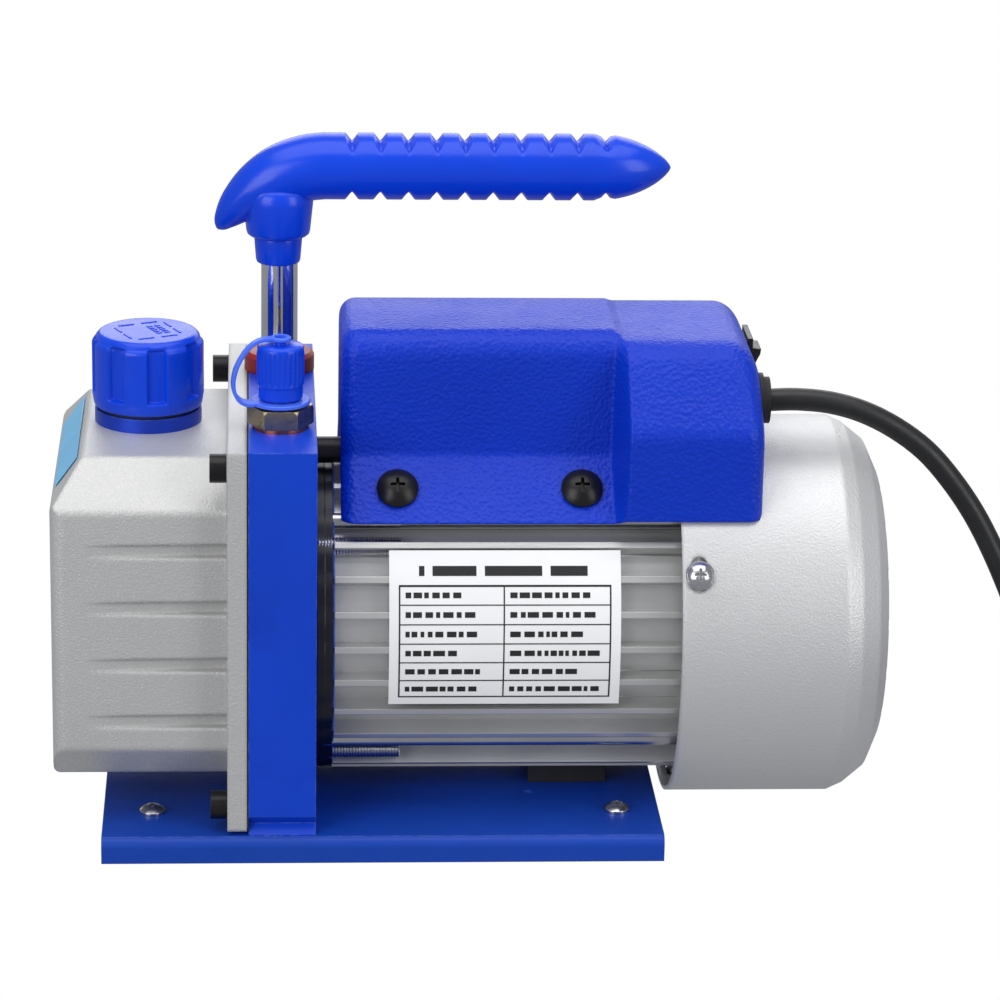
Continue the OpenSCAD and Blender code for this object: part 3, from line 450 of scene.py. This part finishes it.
def plug_pieces():
    """Moulded plug body with a ribbed tail, and three metal pins."""
    x, y, z = PLUG_AT
    rings = []
    for i in range(7):
        for dy, r in ((0, 4.9), (0.9, 5.3), (1.3, 4.5)):
            rib = r + i * 0.18
            rings.append([(x + rib * math.cos(a), y + i * 1.6 + dy, z + rib * math.sin(a)) for a in turns(24)])
    tail = loft(rings)

    def body_ring(dy, hx, hz, power):
        ring = []
        for a in turns(48):
            c, s = math.cos(a), math.sin(a)
            ring.append((x + hx * math.copysign(abs(c) ** power, c), y + dy,
                         z + hz * math.copysign(abs(s) ** power, s)))
        return ring
    shape = [(10.6, 6, 6, 0.9), (12, 7.4, 7.2, 0.8), (14, 9.2, 8.8, 0.6), (17, 10.8, 10.2, 0.5),
             (20, 11.6, 10.8, 0.45), (21, 11.2, 10.4, 0.45), (22.2, 11.2, 10.4, 0.45), (23.2, 11.8, 10.9, 0.42),
             (33.5, 11.9, 10.9, 0.4),
             (35, 11.5, 10.5, 0.42), (35.8, 10.6, 9.8, 0.45)]
    body = loft([body_ring(*s) for s in shape])
    shell = piece("plug_body", *join(tail, body), "black_plastic", "machine")

    parts = []
    for s in (-1, 1):
        rings = []
        for dy, hx, hz in ((35.5, 0.75, 3.1), (51.5, 0.75, 3.1), (53, 0.5, 2.2)):
            rings.append([(x + s * BLADE_OFF + a * hx, y + dy, z + 2.1 + b * hz)
                          for a, b in ((-1, -1), (1, -1), (1, 1), (-1, 1))])
        parts.append(loft(rings))
    rings = [[(x + r * math.cos(a), y + dy, z - EARTH_DROP + r * math.sin(a)) for a in turns(24)]
             for dy, r in ((35.5, 2.4), (53, 2.4), (54.4, 1.9), (55, 1.1))]
    parts.append(loft(rings))
    pins = piece("plug_pins", *join(*parts), "steel", "machine")
    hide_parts("power_plug")
    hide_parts("power_plug")
    return shell, pins


cord, cord_length = cord_curve()
plug_shell, plug_pins = plug_pieces()

# ------------------------------------------------------------------ terminal box
BOX_X0, BOX_X1, BOX_WALL = -40.5, 84.3, 2.2
FINS_CLEAR, COWL_CLEAR = 50.9, 58.6   # radii of the end walls' arches


def filleted(corners):
    """Points along a polyline whose inner corners (y, z, radius) are rounded; always the same count."""
    steps, parts = 7, 5
    points = [corners[0][:2]]
    for before, (y, z, r), after in zip(corners, corners[1:], corners[2:]):
        here = Vector((y, z))
        a, b = (Vector(before[:2]) - here).normalized(), (Vector(after[:2]) - here).normalized()
        half = a.angle(b) / 2
        cut = r / math.tan(half)
        start, mid = here + a * cut, here + (a + b).normalized() * r / math.sin(half)
        first = Vector(points[-1])
        points += [tuple(first.lerp(start, k / parts)) for k in range(1, parts)]
        for k in range(steps):
            t = k / (steps - 1)
            spoke = ((start - mid) * (1 - t) + (here + b * cut - mid) * t).normalized() * r
            points.append(tuple(mid + spoke))
    first, last = Vector(points[-1]), Vector(corners[-1][:2])
    return points + [tuple(first.lerp(last, k / parts)) for k in range(1, parts + 1)]


def box_path(share, side, drop, foot_in):
    """One cross-section of the cover's skin, from the near lower edge over the top to the far one."""
    narrow = [(0, 159.2, 0), (24, 159.2, 7.5), (24, 122, 3), (40, 105.6, 0)]
    wide = [(0, 157.2, 0), (27, 157.2, 12), (43.5, 134, 9), (43.5, 107.4, 0)]
    mixed = [[a + (b - a) * share for a, b in zip(p, q)] for p, q in zip(narrow, wide)]
    inward, downward = (0, side, side, foot_in), (drop, drop, 0.4 * side, 0)
    corners = [(y - a, z - b, max(0.6, r - min(side, 3) * 0.6))
               for (y, z, r), a, b in zip(mixed, inward, downward)]
    half = filleted(corners)
    return [(-y, z) for y, z in reversed(half[1:])] + half


def arch_path(count, radius, foot_y, foot_z):
    """The lower edge of an end wall, which straddles the motor."""
    reach = min(math.sqrt(radius ** 2 - (foot_z - AXIS_Z) ** 2), foot_y - 1.2)
    span = [-reach + 2 * reach * k / (count - 3) for k in range(count - 2)]
    arch = [(y, AXIS_Z + math.sqrt(radius ** 2 - y * y)) for y in span]
    return [(-reach, foot_z)] + arch + [(reach, foot_z)]


def box_cover():
    """A moulded shell with rounded ends; its far end slopes down over the switch."""
    round_l, round_r, sweep = 5.0, 4.5, 10.0
    spots = [BOX_X0 + round_l * (1 - math.cos(math.radians(9 * k))) for k in range(11)]
    spots += [BOX_X0 + BOX_WALL, BOX_X0 + BOX_WALL + 0.02]
    spots += [BOX_X0 + 8 + 4 * k for k in range(18)] + [39.6 + 0.4 * k for k in range(15)] + [50, 56, 62, 68]
    spots += [BOX_X1 - sweep * (1 - math.cos(math.radians(6 * k))) for k in range(16)]
    spots += [BOX_X1 - BOX_WALL, BOX_X1 - BOX_WALL - 0.02]
    rings = []
    for x in sorted(set(round(x, 3) for x in spots)):
        share = smoothstep((x - 40.2) / 4.4)
        left, right = max(0.0, round_l - (x - BOX_X0)), max(0.0, round_r - (BOX_X1 - x))
        side = round_l - math.sqrt(round_l ** 2 - left ** 2) + round_r - math.sqrt(round_r ** 2 - right ** 2)
        far = max(0.0, 1 - (BOX_X1 - x) / sweep)
        drop = round_l - math.sqrt(round_l ** 2 - left ** 2) + 15 * (1 - math.sqrt(1 - far * far))
        skin = box_path(share, side, drop, side)
        if BOX_X0 + BOX_WALL < x < BOX_X1 - BOX_WALL:
            inner = box_path(share, side + BOX_WALL, drop + BOX_WALL, side + BOX_WALL)
        else:
            inner = arch_path(len(skin), FINS_CLEAR if x < 0 else COWL_CLEAR, *skin[-1])
        rings.append([(x, y, z) for y, z in skin + inner[::-1]])
    return piece("terminal_box_cover", *loft(rings), "blue_texture", BODY_OF["terminal_box"],
                 ("terminal_box",), sharp=50)


box_cover()


# ------------------------------------------------------------------ grip
GRIP_Y, GRIP_Z, GRIP_R = 30.8, 197.0, 10.2
SOCKET_X = -58.9
BEND_X, NOSE_REACH = -45, 0.895    # where the nose starts to bend, and its length as a share of its outline
NOTCH_X0, NOTCH_STEP, NOTCHES = -36.5, 8.6, 10


def grip_line():
    """Stations (x, z, radius) from the bent nose to the tapered end."""
    nose = [(-80.9, -20.0, 0.3), (-80.7, -19.6, 1.2), (-80.1, -18.7, 2.3), (-79.0, -17.2, 3.4), (-77.4, -15.4, 4.5),
            (-75.2, -13.2, 5.7), (-72.4, -10.8, 6.8), (-69.0, -8.3, 7.9), (-65.0, -5.8, 8.8), (-60.5, -3.5, 9.5),
            (-55.5, -1.7, 9.9), (-50.0, -0.5, 10.15), (-45.0, 0.0, 10.2)]
    nose = [(BEND_X + (x - BEND_X) * NOSE_REACH, z, r) for x, z, r in nose]
    line = []
    for i in range(len(nose) - 1):
        p = [nose[max(0, min(len(nose) - 1, i + d))] for d in (-1, 0, 1, 2)]
        for k in range(4):
            t = k / 4
            line.append(tuple(0.5 * (2 * b + (c - a) * t + (2 * a - 5 * b + 4 * c - d) * t * t
                                     + (3 * b - a - 3 * c + d) * t ** 3) for a, b, c, d in zip(*p)))
    line += [(-45 + 0.4 * k, 0.0, GRIP_R) for k in range(207)]
    line += [(38 + 23 * t, 0.0, GRIP_R * (1 - t * t * 0.995) ** 0.72) for t in
             (math.sin(math.pi / 2 * k / 24) for k in range(1, 25))]
    return line


def grip_piece():
    """Notches bite above and below the bar and fade out towards its sides."""
    line, rings = grip_line(), []
    for i, (x, z, r) in enumerate(line):
        a, b = line[max(0, i - 1)], line[min(len(line) - 1, i + 1)]
        run = math.hypot(b[0] - a[0], b[1] - a[1]) or 1
        ux, uz = -(b[1] - a[1]) / run, (b[0] - a[0]) / run
        near = min(abs(x - (NOTCH_X0 + NOTCH_STEP * k)) for k in range(NOTCHES))
        ring = []
        for t in turns(96):
            lift = abs(math.sin(t))
            reach = smoothstep((lift - 0.5) / 0.45)
            width = 0.25 + 1.75 * reach
            depth = 2.5 * reach * max(0.0, 1 - near / width) if x > -41 else 0.0
            rr = r - min(depth, r * 0.35)
            up = rr * math.sin(t)
            ring.append((x + ux * up, GRIP_Y + rr * math.cos(t), GRIP_Z + z + uz * up))
        rings.append(ring)
    bar = loft(rings)
    socket = [(5.7, -30), (6.1, -30.1), (6.6, -29.8), (6.85, -29), (7.35, -22.6), (7.2, -21.9), (7.6, -21.6),
              (8.9, -21.4), (9.5, -20.9), (9.8, -19.9), (10.7, -11), (10.6, -9), (10.0, -7.2), (8.6, -5.6),
              (6, -4.6), (0.1, -4.2)]
    cup = loft(lathe_z(socket, (SOCKET_X, GRIP_Y, GRIP_Z), 80))
    return piece("grip_moulding", *join(bar, cup), "blue_plastic", BODY_OF["handle_grip"],
                 ("handle_grip",), sharp=38)


grip_piece()


# ------------------------------------------------------------------ oil cap
CAP_AT = (-98.2, 3, 130.1)


def cap_flute(angle, r, z):
    """Eight soft-edged recesses round the cap's wall."""
    if r < 14 or not 3.5 < z < 21.2:
        return r
    off = abs((math.degrees(angle) - 11 + 22.5) % 45 - 22.5)
    across = 1 - smoothstep((off - 8.0) / 2.6)
    along = smoothstep((z - 3.7) / 0.9) * (1 - smoothstep((z - 19.9) / 1.1))
    return r - 1.7 * across * along


def oil_cap_pieces():
    """The moulded cap, and raised strokes on its top in place of words."""
    wall = [(16.8, 3.4 + 0.2 * k) for k in range(9)] + [(16.8, 5.4 + 1.4 * k) for k in range(10)]
    wall += [(16.8 - 0.02 * k * k, 19 + 0.25 * k) for k in range(8)]
    outline = [(0.1, 0.5), (6.5, 0.5), (6.5, -9.5), (8.9, -9.5), (8.9, 0.05), (15.4, 0.05), (16.1, 0.2),
               (16.4, 0.8)]
    outline += wall + [(15.6, 21.3), (15.1, 21.9), (14.7, 22.3), (14.2, 22.55), (13.6, 22.6), (0.1, 22.6)]
    shell = loft(lathe_z(outline, CAP_AT, 288, cap_flute))
    cap = piece("oil_cap_moulding", *shell, "blue_plastic", BODY_OF["oil_cap"], sharp=40)
    marks, turn = [], math.radians(24)

    def stroke(u0, u1, v0, v1):
        rings = []
        for rise, inset in ((0, 0), (0.18, 0), (0.26, 0.08)):
            ring = []
            left, right, near, far = u0 + inset, u1 - inset, v0 + inset, v1 - inset
            for u, v in ((left, near), (right, near), (right, far), (left, far)):
                ring.append((CAP_AT[0] + u * math.cos(turn) - v * math.sin(turn),
                             CAP_AT[1] + u * math.sin(turn) + v * math.cos(turn), CAP_AT[2] + 22.55 + rise))
            rings.append(ring)
        marks.append(loft(rings))
    for s in (-1, 1):
        for u in (-6.2, 1.2):
            stroke(u, u + 5, s * 8 - 0.35, s * 8 + 0.35)
            stroke(s * 8 - 0.35, s * 8 + 0.35, u, u + 5)
    for row in range(2):
        for k in range(5):
            stroke(1.2 + 2.6 * row, 2.9 + 2.6 * row, -4.4 + 1.9 * k, -3.5 + 1.9 * k)
    badge = piece("oil_cap_marks", *join(*marks), "blue_plastic", BODY_OF["oil_cap"])
    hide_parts("oil_cap")
    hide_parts("oil_cap")


oil_cap_pieces()


# ------------------------------------------------------------------ dust cap and its strap
PORT = (-58.5, -30.8, 133)
CAP_RIBS = 26


def dust_cap_piece():
    """Finger-ribbed cap over the flare, with a nub for the strap's eyelet."""
    def ribs(angle, r, z):
        if r < 6.4 or not 13.5 < z < 23.8:
            return r
        fade = smoothstep((z - 13.6) / 1.2) * (1 - smoothstep((z - 22.4) / 1.2))
        return r + 0.2 * math.cos(CAP_RIBS * angle) * fade - 0.1
    outline = [(0.1, 23.9), (5.65, 23.9), (5.65, 8.95), (6.3, 8.95), (6.5, 9.2), (6.6, 12.9), (6.9, 13.3),
               (6.95, 14)]
    outline += [(6.95, 14.4 + 0.5 * k) for k in range(19)]
    outline += [(6.9, 24.4), (6.6, 24.9), (6.1, 25.15), (1.7, 25.2), (1.65, 26.5), (1.3, 26.8), (0.1, 26.8)]
    shell = loft(lathe_z(outline, PORT, 8 * CAP_RIBS, ribs))
    return piece("dust_cap_moulding", *shell, "blue_plastic", BODY_OF["dust_cap"], ("dust_cap",))


def flat_ring(inner, outer, low, high):
    """A washer round the port's axis with eased rims."""
    edge = min(0.25, (high - low) / 3)
    outline = [(inner, low), (outer - edge, low), (outer, low + edge), (outer, high - edge), (outer - edge, high),
               (inner, high), (inner, low)]
    return loft(lathe_z(outline, PORT, 72), False, False)


STRAP_SECTION = ((-1, -0.3), (-0.9, -0.5), (0.9, -0.5), (1, -0.3), (1, 0.3), (0.9, 0.5), (-0.9, 0.5), (-1, 0.3))


def strap_piece():
    """Soft strap from a ring on the fitting's neck, bowed out and back to an eyelet on the cap."""
    bow = [(-6.6, -2.4, 7.9, 4.6), (-9.6, -3.2, 8.0, 4.8), (-12.2, -3.7, 9.3, 4.6), (-13.7, -3.8, 12.2, 4.0),
           (-13.7, -3.7, 16.2, 3.4), (-12.2, -3.3, 20.6, 3.0), (-9.4, -2.3, 24.6, 2.7), (-6.2, -1.2, 26.6, 2.6),
           (-2.6, -0.3, 26.9, 2.6)]
    fine = []
    for i in range(len(bow) - 1):
        p = [bow[max(0, min(len(bow) - 1, i + d))] for d in (-1, 0, 1, 2)]
        for k in range(6):
            t = k / 6
            fine.append([0.5 * (2 * b + (c - a) * t + (2 * a - 5 * b + 4 * c - d) * t * t
                                + (3 * b - a - 3 * c + d) * t ** 3) for a, b, c, d in zip(*p)])
    fine.append(list(bow[-1]))
    side = Vector((0.12, -1, 0)).normalized()
    rings = []
    for i, (x, y, z, w) in enumerate(fine):
        a, b = fine[max(0, i - 1)], fine[min(len(fine) - 1, i + 1)]
        up = side.cross(Vector([b[0] - a[0], b[1] - a[1], b[2] - a[2]]).normalized()).normalized()
        ring = []
        for u, v in STRAP_SECTION:
            point = Vector((PORT[0] + x, PORT[1] + y, PORT[2] + z)) + side * (u * w / 2) + up * (v * 1.1)
            ring.append(tuple(point))
        rings.append(ring)
    neck_ring, eyelet = flat_ring(5.1, 8.8, 7.3, 8.5), flat_ring(1.8, 3.1, 26.4, 27.5)
    strap = piece("dust_cap_strap_loop", *join(loft(rings), neck_ring, eyelet), "strap_blue", None)
    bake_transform(strap)
    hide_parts("dust_cap_strap")


dust_cap_piece()
strap_piece()


# ------------------------------------------------------------------ motor details
ROD_PITCH_R, THREAD_X0, THREAD_TURNS = 47.5, -47.5, 28
LABEL_R = 50.97


def motor_collar():
    """Scalloped end of the front casting, between the block and the fins; its near-black colour is painted shade on
    a casting that is blue and sits in a recess.
    """
    def ring(x, r, wave):
        radii = [(a, r + wave * math.cos(30 * a)) for a in turns(360)]
        return [(x, reach * math.cos(a), AXIS_Z + reach * math.sin(a)) for a, reach in radii]
    outline = ((-47.8, 49.9), (-47.6, 50.1), (-45.4, 50.1), (-45.2, 49.95), (-42.9, 49.95))
    rings = [ring(x, r, 0.3) for x, r in outline]
    inner = [ring(x, 49.55, 0) for x in (-42.9, -47.8)]
    verts, faces = loft(rings + inner + [rings[0]], False, False)
    return piece("front_casting_collar", verts, faces, SLOT_OF["pump_block"], "machine", material="painted_shade_casting")


def rod_threads():
    """Rolled thread on the block end of each tie rod."""
    parts = []
    for angle in map(math.radians, (-40, 50, 140, 230)):
        y, z = ROD_PITCH_R * math.cos(angle), AXIS_Z + ROD_PITCH_R * math.sin(angle)
        rings = []
        for k in range(2 * THREAD_TURNS + 1):
            r = 2.42 if k % 2 == 0 else 2.8
            rings.append([(THREAD_X0 + 0.45 * k, y + r * math.cos(a), z + r * math.sin(a))
                          for a in turns(24)])
        parts.append(loft(rings))
    return piece("tie_rod_threads", *join(*parts), SLOT_OF["tie_rods"], "machine", sharp=60)


def printed(x0, x1, low, high):
    """A printed bar on the bent nameplate, between two angles above the shaft."""
    steps = max(2, int((high - low) / 2) + 2)
    verts, faces = [], []
    for lift in (0.0, 0.05):
        for k in range(steps):
            a = math.radians(low + (high - low) * k / (steps - 1))
            for x in (x0, x1):
                verts.append((x, -(LABEL_R + lift) * math.cos(a), AXIS_Z + (LABEL_R + lift) * math.sin(a)))
    n = 2 * steps
    for k in range(steps - 1):
        i = 2 * k
        faces += [(n + i, n + i + 1, n + i + 3, n + i + 2), (i, i + 2, i + 3, i + 1),
                  (i, n + i, n + i + 2, i + 2), (i + 1, i + 3, n + i + 3, n + i + 1)]
    faces += [(0, 1, n + 1, n), (n - 2, 2 * n - 2, 2 * n - 1, n - 1)]
    return verts, faces


def label_print():
    """Generic rating table: frame lines and bars in place of words."""
    x0, x1, low, high = -23.6, 39.4, -14.2, 34.2
    dark, heading = [], []
    table_top = 25.0
    for a in (low, table_top - 0.5):
        dark.append(printed(x0, x1, a, a + 0.5))
    for x in (x0, x1 - 0.45):
        dark.append(printed(x, x + 0.45, low, table_top))
    for x, w in ((x0 + 6, 1.6), (x0 + 10, 13), (x0 + 25.5, 17), (x0 + 45, 11)):
        heading.append(printed(x, x + w, 28.2, 31.6))
    rows = 6
    for k in range(1, rows + 1):
        a = low + (25 - low) * k / rows
        dark.append(printed(x0, x1, a - 0.2, a + 0.2))
    middle = x0 + 31
    dark.append(printed(middle, middle + 0.4, low, 25))
    for k in range(rows):
        a = low + (25 - low) * (k + 0.5) / rows
        for start, end in ((x0 + 2, middle - 3), (middle + 2, x1 - 3)):
            x = start
            while x < end - 2:
                w = random.uniform(1.0, 3.6)
                dark.append(printed(x, min(end, x + w), a - 0.95, a + 0.95))
                x += w + random.uniform(0.5, 1.1)
                if x > start + (end - start) * random.uniform(0.55, 1.2):
                    break
    piece("label_table", *join(*dark), "label_foil", "machine", material="ink")
    piece("label_heading", *join(*heading), "label_foil", "machine", material="ink")


def sticker_print():
    """Generic bars on the slanted sticker."""
    low, high = edges("tank_sticker")
    run, rise = high[0] - low[0], high[2] - low[2]
    marks, y = [], low[1] + 4
    while y < high[1] - 5:
        w = random.uniform(2.0, 5.0)
        rings = []
        for lift in (0.0, 0.05):
            rings.append([(low[0] + run * t - lift, yy, low[2] + rise * t + lift * 0.6)
                          for t, yy in ((0.3, y), (0.3, y + w), (0.7, y + w), (0.7, y))])
        marks.append(loft(rings))
        y += w + 0.9
    piece("sticker_marks", *join(*marks), "sticker_blue", "machine", material="sticker_ink")


sticker_print()
motor_collar()
rod_threads()
label_print()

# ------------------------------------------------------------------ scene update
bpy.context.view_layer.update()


# ------------------------------------------------------------------ light
def light(name, at, aim, size, power):
    """A rectangular lamp that faces a point."""
    data = bpy.data.lights.new(name, "AREA")
    data.shape, data.size, data.size_y, data.energy = "RECTANGLE", size[0], size[1], power
    obj = bpy.data.objects.new(name, data)
    scene.collection.objects.link(obj)
    obj.location = at
    obj.rotation_euler = (Vector(aim) - Vector(at)).to_track_quat("-Z", "Y").to_euler()


def studio():
    """White behind the object, a dim sky for its reflections, and four lamps."""
    world = bpy.data.worlds.new("studio")
    scene.world = world
    world.use_nodes = True
    tree = world.node_tree
    tree.nodes.clear()
    out = tree.nodes.new("ShaderNodeOutputWorld")
    white, soft = tree.nodes.new("ShaderNodeBackground"), tree.nodes.new("ShaderNodeBackground")
    white.inputs["Color"].default_value = (1, 1, 1, 1)
    soft.inputs["Color"].default_value = (0.9, 0.93, 1, 1)
    soft.inputs["Strength"].default_value = 0.36
    path, mix = tree.nodes.new("ShaderNodeLightPath"), tree.nodes.new("ShaderNodeMixShader")
    tree.links.new(path.outputs["Is Camera Ray"], mix.inputs[0])
    tree.links.new(soft.outputs[0], mix.inputs[1])
    tree.links.new(white.outputs[0], mix.inputs[2])
    tree.links.new(mix.outputs[0], out.inputs[0])
    light("top", (0.0, -0.1, 0.9), (0, 0, 0.1), (1.1, 0.7), 5)
    light("front_left", (-0.8, -0.9, 0.55), (0, 0, 0.1), (0.7, 0.9), 7)
    light("front_right", (0.9, -0.8, 0.5), (0, 0, 0.1), (0.5, 0.9), 4.5)
    light("back", (0.1, 0.9, 0.6), (0, 0, 0.1), (1.0, 0.7), 4)
    scene.view_settings.view_transform = "Standard"


studio()
